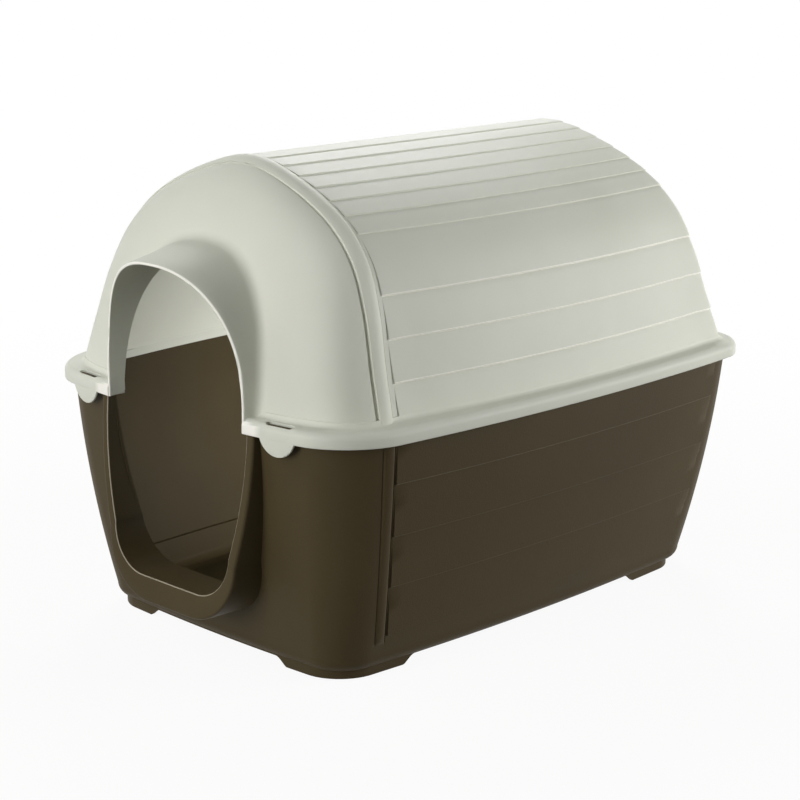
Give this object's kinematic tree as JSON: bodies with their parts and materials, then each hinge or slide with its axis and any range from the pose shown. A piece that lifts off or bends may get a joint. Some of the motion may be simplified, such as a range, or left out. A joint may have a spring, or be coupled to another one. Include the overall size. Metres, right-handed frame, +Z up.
{
  "type": "dog house",
  "caption": "Moulded dog house: dark tub with a U-shaped door collar under a pale lift-off domed roof with a door hood, clapboards and a closable rear vent.",
  "frame": {"origin": "on the floor under the pads, in the middle of the overall length and width", "axes": "+Z up, +Y from the door end to the rear gable along the length, +X to the right seen from the door end"},
  "size_m": [0.4804, 0.6356, 0.4747],
  "materials": {
    "tub_plastic": "fine moulded grain, dark brown",
    "roof_plastic": "satin, greenish cream",
    "vent_plastic": "satin, dark brown",
    "rubber": "matt black"
  },
  "bodies": {
    "tub": {"base_tub": "tub_plastic", "foot_pad_front_left": "rubber", "foot_pad_front_right": "rubber", "foot_pad_rear_left": "rubber", "foot_pad_rear_right": "rubber"},
    "roof": {"roof_shell": "roof_plastic", "rear_vent_grille": "vent_plastic"},
    "shutter": {"vent_shutter": "vent_plastic"},
    "plug": {"drain_plug": "rubber"}
  },
  "joints": [
    {"name": "roof_lift", "type": "slide", "parent": "tub", "child": "roof", "axis": [0, 0, 1], "range_m": [0, 0.2]},
    {"name": "shutter_slide", "type": "slide", "parent": "roof", "child": "shutter", "axis": [1, 0, 0], "range_m": [0, 0.0065]},
    {"name": "plug_pull", "type": "slide", "parent": "tub", "child": "plug", "axis": [0, 0, 1], "range_m": [0, 0.03]}
  ]
}
